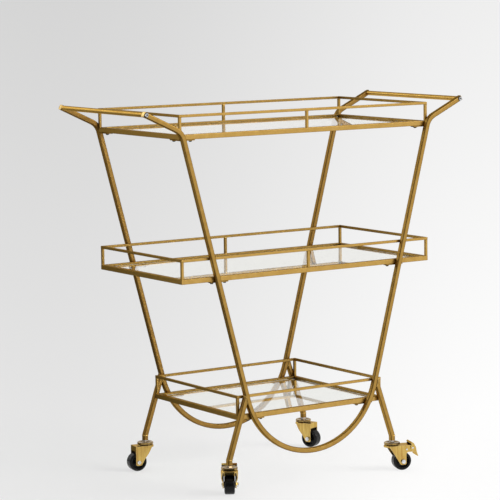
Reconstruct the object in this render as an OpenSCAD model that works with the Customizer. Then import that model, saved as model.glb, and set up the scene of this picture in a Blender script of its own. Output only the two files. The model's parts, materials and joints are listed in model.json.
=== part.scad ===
// Three tier bar cart: two bent square tube frames, three glass trays with gallery
// rails, two push handles and four swivel casters, the front pair with brakes.
// Millimetres. X runs along the cart, -Y is its front, Z is up from the floor.

/* [Side frames] */
// Width of the square frame tube
tube_w = 12.7; // [10:0.1:20]
// Corner radius of the frame tube
tube_r = 2.8; // [1.8:0.1:3.5]
// Wall of the frame tube
tube_wall = 1.2; // [0.8:0.1:2]
// Distance from the middle of the cart to the middle of each side frame
frame_y = 195; // [150:1:260]
// Radius of the arch at the foot of each frame, on the tube's centre line
arch_r = 198; // [160:1:240]
// Height of the arch's centre
arch_z = 281.5; // [260:0.5:340]
// Lean of the long legs from upright
leg_lean = 15; // [8:0.5:20]
// Slope of the handle arms from level
arm_slope = 25; // [10:0.5:40]
// Bend radius where an arm turns into a leg, on the centre line
bend_r = 38; // [25:1:70]

/* [Handles] */
// Distance from the middle of the cart to each handle's axis
handle_x = 466; // [440:0.5:520]
// Height of the handle's axis
handle_z = 932.8; // [900:0.5:980]
// Diameter of the handle rod
handle_d = 12; // [8:0.5:18]
// How far an arm runs on past the handle's axis
arm_tail = 4.2; // [3.8:0.1:12]
// Thickness of the plates that close the arms
arm_cap_t = 1.6; // [1:0.1:3]
// Diameter of the handle screws
handle_screw_d = 6; // [4:0.5:7]

/* [Trays] */
// Length of the top and middle trays
tray_l = 738; // [700:1:800]
// Length of the bottom tray
low_tray_l = 434; // [400:1:480]
// Height of the bottom tray's rail centre
low_tray_z = 188; // [180:0.5:200]
// Distance from one tray to the next
tray_step = 343.5; // [320:0.5:355]
// Width of the square tray rail
rail_w = 12; // [10:0.5:16]
// Wall of the tray rail
rail_wall = 1; // [0.8:0.1:1.6]
// Width of the square gallery bar and its posts
gallery_w = 6.5; // [5:0.1:9]
// Height of the gallery bar's centre over the rail's centre
gallery_rise = 50; // [30:1:80]
// Thickness of the glass
glass_t = 4; // [3:0.5:6]
// Gap between the glass and the rails around it
glass_gap = 1; // [0.5:0.1:2]
// Leg length of the corner tabs that carry the glass
tab_l = 24; // [16:1:40]
// Thickness of the corner tabs
tab_t = 1.6; // [1.2:0.1:2.5]
// Thickness of the pads under the glass
pad_t = 1; // [0.6:0.1:2]
// Thickness of the brackets that the trays are bolted to
bracket_t = 2.5; // [2:0.1:4]
// Diameter of the tray bolts
tray_bolt_d = 4; // [3:0.5:5]

/* [Short legs] */
// Distance from the middle of the cart to each caster's swivel axis
foot_x = 246.5; // [235:0.5:270]
// Height of the end of each short leg
foot_z = 76.5; // [75:0.5:90]
// Height of the upright foot at the end of a short leg
foot_h = 12; // [8:0.5:16]
// Splay of the short legs from upright
foot_splay = 18.8; // [14:0.1:24]

/* [Casters] */
// Wheel diameter
wheel_d = 47; // [42:1:48]
// Wheel width over the tread
wheel_w = 25; // [18:0.5:26]
// Distance from the swivel axis to the wheel axle
trail = 24.5; // [22:0.5:26]
// Height of the fork's crown over the wheel axle
fork_rise = 39; // [37:0.5:42]
// Clear width between the fork's cheeks
fork_gap = 30; // [28:0.5:32]
// Thickness of the fork's sheet steel
fork_t = 2; // [1.5:0.1:2.5]
// Diameter of the swivel head
head_d = 42; // [39:0.5:44]
// Diameter of the caster's stem
stem_d = 8; // [6:0.5:9]
// Diameter of the axle
axle_d = 6; // [5:0.5:7]
// Diameter of the bearing balls
ball_d = 3.2; // [2.4:0.1:3.6]

/* [Hidden] */
$fn = 96;
run_fit = 0.06;        // running clearance on a radius
bolt_play = 0.25;      // clearance on the radius round a bolt in a plain hole
body_gap = 0.3;        // gap between pieces that move past each other
seam = 0.02;           // overlap of neighbouring stretches of one bent tube
small_fn = 48;

// Side frame outline, right half, in X and Z
leg_dir = [sin(leg_lean), cos(leg_lean)];
arm_dir = [cos(arm_slope), sin(arm_slope)];
turn = 90 - leg_lean - arm_slope;
arch_end = arch_r * [cos(leg_lean), -sin(leg_lean)] + [0, arch_z];
knee_x = (arch_r + (handle_z - tan(arm_slope) * handle_x - arch_z) * sin(leg_lean))
    / (cos(leg_lean) - tan(arm_slope) * sin(leg_lean));
knee = [knee_x, handle_z - tan(arm_slope) * (handle_x - knee_x)];
bend_cut = bend_r * tan(turn / 2);
bend_lo = knee - bend_cut * leg_dir;
bend_hi = knee + bend_cut * arm_dir;
bend_c = bend_lo + bend_r * [leg_dir[1], -leg_dir[0]];
arm_end = [handle_x, handle_z] + arm_tail * arm_dir;

// Where the frame tube's centre line is at a given height
function tube_x(z) = z > arch_end[1]
    ? (arch_r + (z - arch_z) * sin(leg_lean)) / cos(leg_lean)
    : sqrt(arch_r * arch_r - (arch_z - z) * (arch_z - z));

// Trays
inner_y = frame_y - tube_w / 2;
outer_y = frame_y + tube_w / 2;
mid_tray_z = low_tray_z + tray_step;
top_tray_z = mid_tray_z + tray_step;
rail_r = 1;
bar_r = 0.7;
tab_drop = 5.6;
tab_top = tab_t - tab_drop * rail_w / 12;
glass_bottom = tab_top + pad_t;
glass_corner_r = 4;
pad_r = 4.5;
pad_in = 7;
pad_stem_r = 1.8;
pad_foot = 0.3;
post_h = gallery_rise - rail_w / 2 - gallery_w / 2;
bolt_head_r = 4.2;
bolt_head_h = 3.2;
bolt_grip = 6;
bolt_in = 26;
bolt_out = 11;
bracket_in = bolt_in + 7;
bracket_out = bolt_out + 7;
bracket_depth = 22;
corner_bolt = 34;
corner_plate = corner_bolt + 9;

// Handles
handle_l = 2 * inner_y;
handle_tap = 14;
screw_head_r = 4.8;
screw_head_h = 3;
screw_key_r = 2.6;
screw_key_h = 2.4;

// Short legs
foot_knee = foot_z + foot_h;
insert_h = 16;

// Casters
wheel_r = wheel_d / 2;
crown_bottom = wheel_r + fork_rise;
crown_top = crown_bottom + fork_t;
race_top = crown_top + 1.6;
race_gap = 1.8;
cup_bottom = race_top + race_gap;
cup_h = 4.6;
cup_top = cup_bottom + cup_h;
cup_seat = cup_bottom + 2.6;
ball_z = race_top + race_gap / 2;
ball_ring_r = 14.5;
ball_count = 12;
cup_r = head_d / 2 - 0.6;
rim_drop = 2.4;
cheek_in = fork_gap / 2;
cheek_out = cheek_in + fork_t;
cheek_front = -10;
horn_x = trail + 25;
horn_bottom = crown_bottom - 15.5;
skirt_bottom = crown_bottom - 11;
flare_r = 20.3 * head_d / 42;
flare_top = crown_bottom - rim_drop;
flare_mid = wheel_r + 20.5;
flare_bottom = wheel_r + 3;
cheek_tip = 8.4;
cheek_corner_r = 4;
hub_gap = body_gap;
hub_r = 8;
web_r = 17;
web_w = 9;
axle_head_r = 5;
axle_nut_r = 5.8;
axle_nut_h = 4.4;
kingpin_r = 7;
kingpin_h = 2;
stem_up = 18;
nut_r = 7.5;

// Brakes
pedal_pin = [trail + 24.5, crown_bottom - 5];
leaf_pin = [trail + 9.5, crown_bottom - 8.5];
pin_r = 1.5;
ear_gap = 0.4;
ear_t = 1.6;
pedal_out = cheek_out + ear_gap + ear_t;
ear_r = 5.5;
cam_r = 4;
cam_lobe = [5.4, 290];  // distance and direction of the cam's lobe from the pedal's pin
cam_lobe_r = 2.5;
cam_slack = 1.3;          // how far the leaf stays below the pressed cam
leaf_t = 0.8;
leaf_w = 16;

// Side of the cart and resting heading of each caster: front left, front right,
// rear left, rear right
CASTERS = [[-1, -1, 57], [1, -1, -19], [-1, 1, 172], [1, 1, -68]];

// A square with corners rounded in short flats, centred
module round_square(w, r) {
    square([w, w - 2 * r], center = true);
    square([w - 2 * r, w], center = true);
    for (sx = [-1, 1], sy = [-1, 1])
        translate([sx * (w / 2 - r), sy * (w / 2 - r)]) circle(r, $fn = 12);
}

// Section of a square tube, or of a solid bar where wall is 0
module bar_section(w, r, wall) {
    difference() {
        round_square(w, r);
        if (wall > 0)
            round_square(w - 2 * wall, max(r - wall, 0.3));
    }
}

// A straight frame tube from point a to point b, both in X and Z
module straight_tube(a, b) {
    d = b - a;
    translate([a[0], 0, a[1]])
        rotate([0, atan2(d[0], d[1]), 0])
            translate([0, 0, -seam])
                linear_extrude(norm(d) + 2 * seam) bar_section(tube_w, tube_r, tube_wall);
}

// A bent frame tube round centre c, from angle a0 through sweep, in the plane of X and Z
module bent_tube(c, r, a0, sweep) {
    translate([c[0], 0, c[1]])
        rotate([90, 0, 0])
            rotate([0, 0, a0])
                rotate_extrude(angle = sweep, $fn = 180)
                    translate([r, 0]) bar_section(tube_w, tube_r, tube_wall);
}

// Both handle bores through one arm
module arm_bores() {
    translate([handle_x, 0, handle_z])
        rotate([90, 0, 0])
            cylinder(h = 2 * tube_w, r = handle_screw_d / 2 + bolt_play, center = true);
}

// One side frame: arch, two legs, two bends and two arms in one bent tube
module frame_tube() {
    difference() {
        union() {
            bent_tube([0, arch_z], arch_r, -180 + leg_lean, 180 - 2 * leg_lean);
            for (m = [0, 1]) mirror([m, 0, 0]) {
                straight_tube(arch_end, bend_lo);
                bent_tube(bend_c, bend_r, 90 + arm_slope, turn);
                straight_tube(bend_hi, arm_end);
            }
        }
        for (m = [0, 1]) mirror([m, 0, 0]) arm_bores();
    }
}

module front_frame_tube() {
    color("darkgoldenrod") translate([0, -frame_y, 0]) frame_tube();
}

module rear_frame_tube() {
    color("darkgoldenrod") translate([0, frame_y, 0]) frame_tube();
}

// Flat plates that close the ends of the arms
module arm_end_caps() {
    color("darkgoldenrod")
    for (sx = [0, 1], sy = [-1, 1])
        mirror([sx, 0, 0])
            translate([0, sy * frame_y, 0])
                translate([arm_end[0], 0, arm_end[1]])
                    rotate([0, 90 - arm_slope, 0])
                        translate([0, 0, seam])
                            linear_extrude(arm_cap_t) round_square(tube_w, tube_r);
}

// Removes what lies inside the outer face of the long leg, so that a short leg seats on it
module outside_long_leg() {
    reach = 400;
    difference() {
        children();
        translate([arch_end[0], 0, arch_end[1]])
            rotate([0, leg_lean, 0])
                translate([tube_w / 2 - reach, -reach / 2, -reach])
                    cube([reach, reach, 2 * reach]);
    }
}

// One short leg: a splayed tube mitred to an upright foot, on the right side
module short_leg() {
    top_z = arch_z;
    slant = tan(foot_splay);
    top = [foot_x - (top_z - foot_knee) * slant, top_z];
    cut = 60;
    outside_long_leg() union() {
        difference() {
            straight_tube([foot_x + cut * slant, foot_knee - cut], top);
            mitre_half(cut, 0);
        }
        difference() {
            straight_tube([foot_x, foot_z], [foot_x, foot_knee + cut / 2]);
            mitre_half(cut, 180);
        }
    }
}

// Half space under the mitre of a short leg, or over it when turned half round
module mitre_half(size, turned) {
    translate([foot_x, 0, foot_knee])
        rotate([0, -foot_splay / 2 + turned, 0])
            translate([-size, -size, -2 * size]) cube([2 * size, 2 * size, 2 * size]);
}

module front_left_leg() {
    color("darkgoldenrod") mirror([1, 0, 0]) translate([0, -frame_y, 0]) short_leg();
}

module front_right_leg() {
    color("darkgoldenrod") translate([0, -frame_y, 0]) short_leg();
}

module rear_left_leg() {
    color("darkgoldenrod") mirror([1, 0, 0]) translate([0, frame_y, 0]) short_leg();
}

module rear_right_leg() {
    color("darkgoldenrod") translate([0, frame_y, 0]) short_leg();
}

// Threaded blocks welded into the ends of the short legs
module leg_inserts() {
    block = tube_w - 2 * tube_wall;
    color("silver")
    for (sx = [-1, 1], sy = [-1, 1])
        translate([sx * foot_x, sy * frame_y, foot_z])
            difference() {
                linear_extrude(foot_h - 3) round_square(block, max(tube_r - tube_wall, 0.3));
                translate([0, 0, -1]) cylinder(h = insert_h, r = stem_d / 2);
            }
}

// A handle rod, tapped at both ends
module handle_rod() {
    translate([handle_x, 0, handle_z])
        rotate([90, 0, 0])
            difference() {
                cylinder(h = handle_l, r = handle_d / 2, center = true);
                for (s = [-1, 1])
                    translate([0, 0, s * handle_l / 2])
                        cylinder(h = 2 * handle_tap, r = handle_screw_d / 2, center = true);
            }
}

module left_handle() {
    color("goldenrod") mirror([1, 0, 0]) handle_rod();
}

module right_handle() {
    color("goldenrod") handle_rod();
}

// A round head with a hexagon socket, standing on Z = 0
module socket_head(r, h, key_r, key_h) {
    edge = h * 0.45;
    difference() {
        rotate_extrude($fn = small_fn)
            polygon([[0, 0], [r, 0], [r, h - edge], [r - edge, h], [0, h]]);
        translate([0, 0, h - key_h]) cylinder(h = key_h + 1, r = key_r, $fn = 6);
    }
}

// Screws that hold the handles to the arms
module handle_screws() {
    shank = tube_w + handle_tap * 0.7;
    color("silver")
    for (sx = [-1, 1], sy = [-1, 1])
        translate([sx * handle_x, sy * outer_y, handle_z])
            rotate([sy * -90, 0, 0])
                union() {
                    socket_head(screw_head_r, screw_head_h, screw_key_r, screw_key_h);
                    translate([0, 0, -shank]) cylinder(h = shank + 0.5, r = handle_screw_d / 2);
                }
}

// Four bars mitred into a rectangle, outside half length hl and half width hw. The cross
// bars overlap the long ones by a hair along the mitres
module mitred_bars(hl, hw, w, r, wall) {
    for (s = [0, 1]) {
        mirror([0, s, 0])
            intersection() {
                translate([-hl, -hw + w / 2, 0])
                    rotate([90, 0, 90]) linear_extrude(2 * hl) bar_section(w, r, wall);
                linear_extrude(2 * w, center = true)
                    polygon([[-hl, -hw], [hl, -hw], [hl - w, -hw + w], [-hl + w, -hw + w]]);
            }
        mirror([s, 0, 0])
            intersection() {
                translate([-hl + w / 2, -hw, 0])
                    rotate([-90, 0, 0]) linear_extrude(2 * hw) bar_section(w, r, wall);
                linear_extrude(2 * w, center = true)
                    polygon([
                        [-hl, -hw - seam], [-hl + w + seam, -hw + w],
                        [-hl + w + seam, hw - w], [-hl, hw + seam]
                    ]);
            }
    }
}

// Bolt places of one tray: bolts near the legs, or round the corners of the top tray
function leg_bolts(z) = let (x = tube_x(z - rail_w / 2))
    [for (sx = [-1, 1], sy = [-1, 1], b = [-bolt_in, bolt_out])
        [sx * (x + b), sy * (inner_y - rail_w / 2)]];
function corner_bolts(hl) =
    [for (sx = [-1, 1], sy = [-1, 1], k = [0, 1])
        [sx * (hl - (k == 0 ? corner_bolt : rail_w / 2)),
         sy * (inner_y - (k == 0 ? rail_w / 2 : corner_bolt))]];
top_bolts = corner_bolts(tray_l / 2);
middle_bolts = leg_bolts(mid_tray_z);
bottom_bolts = leg_bolts(low_tray_z);

// Rails of one tray, drilled from below for its bolts
module tray_rails(length, z, bolts) {
    translate([0, 0, z])
        difference() {
            mitred_bars(length / 2, inner_y, rail_w, rail_r, rail_wall);
            for (b = bolts)
                translate([b[0], b[1], -rail_w])
                    cylinder(h = rail_w, r = tray_bolt_d / 2, $fn = small_fn);
        }
}

// Gallery bars of one tray
module gallery_bars(length, z) {
    translate([0, 0, z + gallery_rise])
        mitred_bars(length / 2, inner_y, gallery_w, bar_r, 0);
}

// Gallery posts of one tray: four at the corners, and two at mid length
module gallery_posts(length, z, middle) {
    hx = length / 2 - gallery_w / 2;
    hy = inner_y - gallery_w / 2;
    for (x = middle ? [-hx, 0, hx] : [-hx, hx], sy = [-1, 1])
        translate([x, sy * hy, z + rail_w / 2])
            linear_extrude(post_h) round_square(gallery_w, bar_r);
}

// Corner tabs that carry the glass, each drilled for its pad
module glass_tabs(length, z) {
    hx = length / 2 - rail_w;
    hy = inner_y - rail_w;
    for (mx = [0, 1], my = [0, 1])
        mirror([mx, 0, 0]) mirror([0, my, 0])
            translate([hx, hy, z + tab_top - tab_t])
                difference() {
                    linear_extrude(tab_t) polygon([[0, 0], [-tab_l, 0], [0, -tab_l]]);
                    translate([-pad_in, -pad_in, -1])
                        cylinder(h = tab_t + 2, r = pad_stem_r + 0.1, $fn = small_fn);
                }
}

// Soft pads between the tabs and the glass
module glass_pads(length, z) {
    hx = length / 2 - rail_w - pad_in;
    hy = inner_y - rail_w - pad_in;
    for (sx = [-1, 1], sy = [-1, 1])
        translate([sx * hx, sy * hy, z + tab_top])
            rotate_extrude($fn = small_fn)
                polygon([
                    [0, -tab_t - pad_foot], [pad_stem_r, -tab_t - pad_foot], [pad_stem_r, 0],
                    [pad_r, 0], [pad_r, pad_t], [0, pad_t]
                ]);
}

// One glass panel with rounded corners
module glass_panel(length, z) {
    hx = length / 2 - rail_w - glass_gap;
    hy = inner_y - rail_w - glass_gap;
    r = glass_corner_r;
    translate([0, 0, z + glass_bottom])
        linear_extrude(glass_t) {
            square([2 * hx, 2 * (hy - r)], center = true);
            square([2 * (hx - r), 2 * hy], center = true);
            for (sx = [-1, 1], sy = [-1, 1])
                translate([sx * (hx - r), sy * (hy - r)]) circle(r, $fn = small_fn);
        }
}

// Bolts of one tray, driven up through the brackets into the rails
module tray_bolts(z, bolts) {
    for (b = bolts)
        translate([b[0], b[1], z - rail_w / 2 - bracket_t])
            union() {
                mirror([0, 0, 1]) socket_head(bolt_head_r, bolt_head_h, 1.6, 1.6);
                translate([0, 0, -0.5])
                    cylinder(h = bolt_grip + 0.5, r = tray_bolt_d / 2, $fn = small_fn);
            }
}

// A bracket under a tray, welded to the inner face of a leg, drilled for its bolts
module leg_bracket(z) {
    x = tube_x(z - rail_w / 2);
    translate([x, -inner_y, z - rail_w / 2 - bracket_t])
        difference() {
            linear_extrude(bracket_t)
                polygon([
                    [-bracket_in, 0], [bracket_out, 0], [bracket_out, rail_w],
                    [6, bracket_depth], [-14, bracket_depth], [-bracket_in, rail_w]
                ]);
            for (b = [-bolt_in, bolt_out])
                translate([b, rail_w / 2, -1])
                    cylinder(h = bracket_t + 2, r = tray_bolt_d / 2 + bolt_play, $fn = small_fn);
        }
}

// A triangular bracket under a corner of the top tray
module corner_bracket() {
    half = tray_l / 2;
    translate([half, -inner_y, top_tray_z - rail_w / 2 - bracket_t])
        difference() {
            linear_extrude(bracket_t)
                polygon([
                    [0, 0], [0, corner_plate], [-rail_w, corner_plate],
                    [-corner_plate, rail_w], [-corner_plate, 0]
                ]);
            for (p = [[-corner_bolt, rail_w / 2], [-rail_w / 2, corner_bolt]])
                translate([p[0], p[1], -1])
                    cylinder(h = bracket_t + 2, r = tray_bolt_d / 2 + bolt_play, $fn = small_fn);
        }
}

// All brackets on the front frame
module bracket_set() {
    for (m = [0, 1]) mirror([m, 0, 0]) {
        corner_bracket();
        leg_bracket(mid_tray_z);
        leg_bracket(low_tray_z);
    }
}

module front_tray_brackets() {
    color("darkgoldenrod") bracket_set();
}

module rear_tray_brackets() {
    color("darkgoldenrod") mirror([0, 1, 0]) bracket_set();
}

module top_tray_rails() {
    color("darkgoldenrod") tray_rails(tray_l, top_tray_z, top_bolts);
}

module top_gallery_bars() {
    color("goldenrod") gallery_bars(tray_l, top_tray_z);
}

module top_gallery_posts() {
    color("goldenrod") gallery_posts(tray_l, top_tray_z, true);
}

module top_glass_tabs() {
    color("darkgoldenrod") glass_tabs(tray_l, top_tray_z);
}

module top_glass_pads() {
    color("ivory") glass_pads(tray_l, top_tray_z);
}

module top_glass() {
    color("lightcyan") glass_panel(tray_l, top_tray_z);
}

module top_tray_bolts() {
    color("dimgray") tray_bolts(top_tray_z, top_bolts);
}

module middle_tray_rails() {
    color("darkgoldenrod") tray_rails(tray_l, mid_tray_z, middle_bolts);
}

module middle_gallery_bars() {
    color("goldenrod") gallery_bars(tray_l, mid_tray_z);
}

module middle_gallery_posts() {
    color("goldenrod") gallery_posts(tray_l, mid_tray_z, true);
}

module middle_glass_tabs() {
    color("darkgoldenrod") glass_tabs(tray_l, mid_tray_z);
}

module middle_glass_pads() {
    color("ivory") glass_pads(tray_l, mid_tray_z);
}

module middle_glass() {
    color("lightcyan") glass_panel(tray_l, mid_tray_z);
}

module middle_tray_bolts() {
    color("dimgray") tray_bolts(mid_tray_z, middle_bolts);
}

module bottom_tray_rails() {
    color("darkgoldenrod") tray_rails(low_tray_l, low_tray_z, bottom_bolts);
}

module bottom_gallery_bars() {
    color("goldenrod") gallery_bars(low_tray_l, low_tray_z);
}

module bottom_gallery_posts() {
    color("goldenrod") gallery_posts(low_tray_l, low_tray_z, false);
}

module bottom_glass_tabs() {
    color("darkgoldenrod") glass_tabs(low_tray_l, low_tray_z);
}

module bottom_glass_pads() {
    color("ivory") glass_pads(low_tray_l, low_tray_z);
}

module bottom_glass() {
    color("lightcyan") glass_panel(low_tray_l, low_tray_z);
}

module bottom_tray_bolts() {
    color("dimgray") tray_bolts(low_tray_z, bottom_bolts);
}

// Places children at caster i, with its wheel trailing along its resting heading
module at_caster(i) {
    translate([CASTERS[i][0] * foot_x, CASTERS[i][1] * frame_y, 0])
        rotate([0, 0, CASTERS[i][2]]) children();
}

// Threaded stems with their lower heads, fixed in the short legs
module caster_stems() {
    color("silver")
    for (i = [0:3])
        at_caster(i)
            union() {
                translate([0, 0, crown_bottom - body_gap - kingpin_h])
                    cylinder(h = kingpin_h, r = kingpin_r);
                translate([0, 0, crown_bottom - body_gap - 0.1])
                    cylinder(h = foot_z + foot_h - 4 - crown_bottom + body_gap, r = stem_d / 2);
            }
}

// Hexagon nuts that clamp the upper cups against the feet
module caster_nuts() {
    color("silver")
    for (i = [0:3])
        at_caster(i)
            translate([0, 0, cup_seat])
                difference() {
                    cylinder(h = foot_z - seam - cup_seat, r = nut_r, $fn = 6);
                    translate([0, 0, -1]) cylinder(h = foot_z, r = stem_d / 2);
                }
}

// Ring shaped groove that the balls run in
module ball_groove() {
    translate([0, 0, ball_z])
        rotate_extrude() translate([ball_ring_r, 0]) circle(ball_d / 2 + body_gap, $fn = small_fn);
}

// Upper ball cups, fixed to the stems
module caster_cups() {
    color("darkkhaki")
    for (i = [0:3])
        at_caster(i)
            difference() {
                rotate_extrude()
                    polygon([
                        [stem_d / 2, cup_bottom], [cup_r, cup_bottom], [cup_r, cup_top - 1.2],
                        [cup_r - 1.2, cup_top], [cup_r - 3.4, cup_top],
                        [nut_r + 2, cup_seat], [stem_d / 2, cup_seat]
                    ]);
                ball_groove();
            }
}

// Bearing balls between the cups and the fork crowns
module caster_balls() {
    color("silver")
    for (i = [0:3])
        at_caster(i)
            for (k = [0:ball_count - 1])
                rotate([0, 0, k * 360 / ball_count])
                    translate([ball_ring_r, 0, ball_z]) sphere(d = ball_d, $fn = 24);
}

// Where a line from point a touches a circle at c on its left side
function touch_left(a, c, r) = let (d = a - c, away = atan2(d[1], d[0]) + acos(r / norm(d)))
    c + r * [cos(away), sin(away)];

// Side outline of a fork cheek, in X and Z: it narrows to a square tip with rounded corners
module cheek_outline(braked) {
    r = cheek_corner_r;
    shoulder = [cheek_front, crown_bottom - 3];
    low = wheel_r - cheek_tip + r;
    corner_a = [trail - cheek_tip / 2, low];
    corner_b = [trail + cheek_tip - r, low];
    polygon([
        [cheek_front, crown_top], shoulder, touch_left(shoulder, corner_a, r), corner_a - [0, r],
        corner_b - [0, r], corner_b + [r, 0], [trail + cheek_tip, crown_top]
    ]);
    circle_at(corner_a, r);
    circle_at(corner_b, r);
    if (braked) {
        circle_at(pedal_pin, ear_r);
        polygon([
            [trail, crown_top], [trail + cheek_tip - 1, horn_bottom - 4],
            [trail + cheek_tip, horn_bottom - 4], [trail + cheek_tip + 4, horn_bottom],
            [horn_x, horn_bottom], [horn_x, crown_top]
        ]);
    }
}

// Lays a flat outline out in X and Z, with its thickness from y0 to y1
module stand_up(y0, y1) {
    translate([0, y1, 0]) rotate([90, 0, 0]) linear_extrude(y1 - y0) children();
}

// Space inside the flared top of a fork, shrunk by inset
module flare(inset) {
    rotate_extrude()
        polygon([
            [0, flare_bottom], [cheek_out - inset, flare_bottom], [flare_r - inset, flare_mid],
            [head_d / 2 - inset, flare_top], [head_d / 2 - inset, crown_top - 1],
            [0, crown_top - 1]
        ]);
}

// One cheek: flat sheet at the wheel, drawn out round the crown at its top
module cheek(braked) {
    intersection() {
        stand_up(cheek_in, head_d / 2) cheek_outline(braked);
        difference() {
            union() {
                translate([-head_d, cheek_in, 0]) cube([4 * head_d, fork_t, crown_top]);
                flare(0);
            }
            flare(fork_t);
        }
    }
}

// One stamped fork: crown with its ball race, top plate, two cheeks and, where there is no
// brake, a skirt that joins them behind
module fork(braked) {
    rear = braked ? horn_x : trail + cheek_tip;
    difference() {
        union() {
            rotate_extrude()
                polygon([
                    [0, crown_bottom], [head_d / 2 - fork_t, crown_bottom],
                    [head_d / 2 - fork_t, crown_bottom - rim_drop],
                    [head_d / 2, crown_bottom - rim_drop], [head_d / 2, crown_top - 0.8],
                    [head_d / 2 - 0.8, crown_top], [ball_ring_r + 4, race_top],
                    [ball_ring_r - 4, race_top], [ball_ring_r - 6, crown_top], [0, crown_top]
                ]);
            translate([cheek_front, -cheek_out, crown_bottom])
                cube([rear - cheek_front, 2 * cheek_out, fork_t]);
            for (s = [0, 1])
                mirror([0, s, 0]) cheek(braked);
            if (!braked)
                translate([rear - fork_t, -cheek_out, skirt_bottom])
                    cube([fork_t, 2 * cheek_out, crown_top - skirt_bottom]);
        }
        ball_groove();
        translate([0, 0, crown_bottom - 1])
            cylinder(h = crown_top, r = stem_d / 2 + run_fit);
        translate([trail, 0, wheel_r])
            rotate([90, 0, 0]) cylinder(h = 4 * cheek_out, r = axle_d / 2, center = true);
        if (braked)
            for (p = [pedal_pin, leaf_pin])
                translate([p[0], 0, p[1]])
                    rotate([90, 0, 0])
                        cylinder(h = 4 * cheek_out, r = pin_r, center = true, $fn = small_fn);
    }
}

// One axle: a bolt with a round head, and its hexagon nut
module axle() {
    translate([trail, 0, wheel_r]) {
        rotate([-90, 0, 0]) {
            translate([0, 0, -cheek_out - axle_nut_h - 1])
                cylinder(h = 2 * cheek_out + axle_nut_h + 2, r = axle_d / 2);
            translate([0, 0, cheek_out]) socket_head(axle_head_r, 2.8, 2, 1.2);
        }
        rotate([90, 0, 0])
            translate([0, 0, cheek_out])
                difference() {
                    cylinder(h = axle_nut_h, r = axle_nut_r, $fn = 6);
                    translate([0, 0, -1]) cylinder(h = axle_nut_h + 2, r = axle_d / 2);
                }
    }
}

// One solid wheel: tread with rounded shoulders, dished web and a long hub
module wheel() {
    shoulder = 4;
    half = wheel_w / 2;
    hub_half = cheek_in - hub_gap;
    bore = axle_d / 2 + run_fit;
    translate([trail, 0, wheel_r])
        rotate([90, 0, 0])
            rotate_extrude() {
                translate([bore, -hub_half]) square([hub_r - bore, 2 * hub_half]);
                translate([hub_r - 1, -web_w / 2]) square([web_r - hub_r + 2, web_w]);
                translate([web_r, -half]) square([wheel_r - shoulder - web_r, wheel_w]);
                translate([web_r, shoulder - half]) square([wheel_r - web_r, wheel_w - 2 * shoulder]);
                for (s = [-1, 1])
                    translate([wheel_r - shoulder, s * (half - shoulder)])
                        circle(shoulder, $fn = small_fn);
            }
}

// One brake pedal: a bent blade with two ears that straddle the fork, and a cam between
// the cheeks that bears on the leaf when the pedal is pressed down
module brake_pedal() {
    p = pedal_pin;
    difference() {
        union() {
            stand_up(-pedal_out, pedal_out)
                polygon([
                    p + [-4.8, 11.4], p + [-1, 14.4], p + [3.4, 11.6], p + [8.6, 2],
                    p + [10.7, -9.5], p + [14.6, -21.5], p + [12.9, -22], p + [8.9, -10],
                    p + [6.8, 1], p + [2, 9.8], p + [-1, 12.1], p + [-3.6, 10]
                ]);
            for (s = [0, 1])
                mirror([0, s, 0])
                    stand_up(cheek_out + ear_gap, pedal_out) {
                        circle_at(p, ear_r);
                        polygon([
                            p + [-4.4, 3], p + [-2.2, 11.4], p + [2.6, 10.6], p + [7.6, 1],
                            p + [9.8, -9.9], p + [3.6, -10.2], p + [-1, -5.3]
                        ]);
                    }
            stand_up(-leaf_w / 2, leaf_w / 2) {
                circle_at(p, cam_r);
                circle_at(p + cam_lobe[0] * [cos(cam_lobe[1]), sin(cam_lobe[1])], cam_lobe_r);
                polygon([
                    p + [0, cam_r - 1], p + [7.8, -0.5], p + [8.8, -5.5], p + [3.6, -4.4],
                    p + [-0.6, -5.6], p + [-2, -3]
                ]);
            }
        }
        translate([p[0], 0, p[1]])
            rotate([90, 0, 0])
                cylinder(h = 4 * pedal_out, r = pin_r + run_fit, center = true, $fn = small_fn);
    }
}

module circle_at(p, r) {
    translate(p) circle(r, $fn = small_fn);
}

// The pedal's pin with its heads, and the short pin that holds the leaf
module brake_pins() {
    pin_head = 0.9;
    for (p = [[pedal_pin, pedal_out + body_gap], [leaf_pin, cheek_out]])
        translate([p[0][0], 0, p[0][1]])
            rotate([90, 0, 0]) {
                cylinder(h = 2 * p[1], r = pin_r, center = true, $fn = small_fn);
                for (s = [0, 1])
                    mirror([0, 0, s]) translate([0, 0, p[1] - 0.01])
                        cylinder(h = pin_head, r = 2.3, $fn = small_fn);
            }
}

// Spring leaf under the crown, hooked under its pin, that the pedal presses onto the wheel
module brake_leaf() {
    start = trail - 2;
    top = crown_bottom;
    side = leaf_pin[0] - pin_r - 0.1;
    under = leaf_pin[1] - pin_r - 0.1;
    bend = leaf_pin[0] + 4;
    cam_reach = cam_lobe[0] + cam_lobe_r;
    tip = pedal_pin + [3, -cam_reach - body_gap - cam_slack];
    stand_up(-leaf_w / 2, leaf_w / 2)
        polygon([
            [start, top], [side, top], [side, under], [bend, under], tip, tip - [0, leaf_t],
            [bend - 0.3, under - leaf_t], [side - leaf_t, under - leaf_t],
            [side - leaf_t, top - leaf_t], [start, top - leaf_t]
        ]);
}

module front_left_fork() {
    color("khaki") at_caster(0) fork(true);
}

module front_left_axle() {
    color("silver") at_caster(0) axle();
}

module front_left_wheel() {
    color("black") at_caster(0) wheel();
}

module front_right_fork() {
    color("khaki") at_caster(1) fork(true);
}

module front_right_axle() {
    color("silver") at_caster(1) axle();
}

module front_right_wheel() {
    color("black") at_caster(1) wheel();
}

module rear_left_fork() {
    color("khaki") at_caster(2) fork(false);
}

module rear_left_axle() {
    color("silver") at_caster(2) axle();
}

module rear_left_wheel() {
    color("black") at_caster(2) wheel();
}

module rear_right_fork() {
    color("khaki") at_caster(3) fork(false);
}

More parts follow.
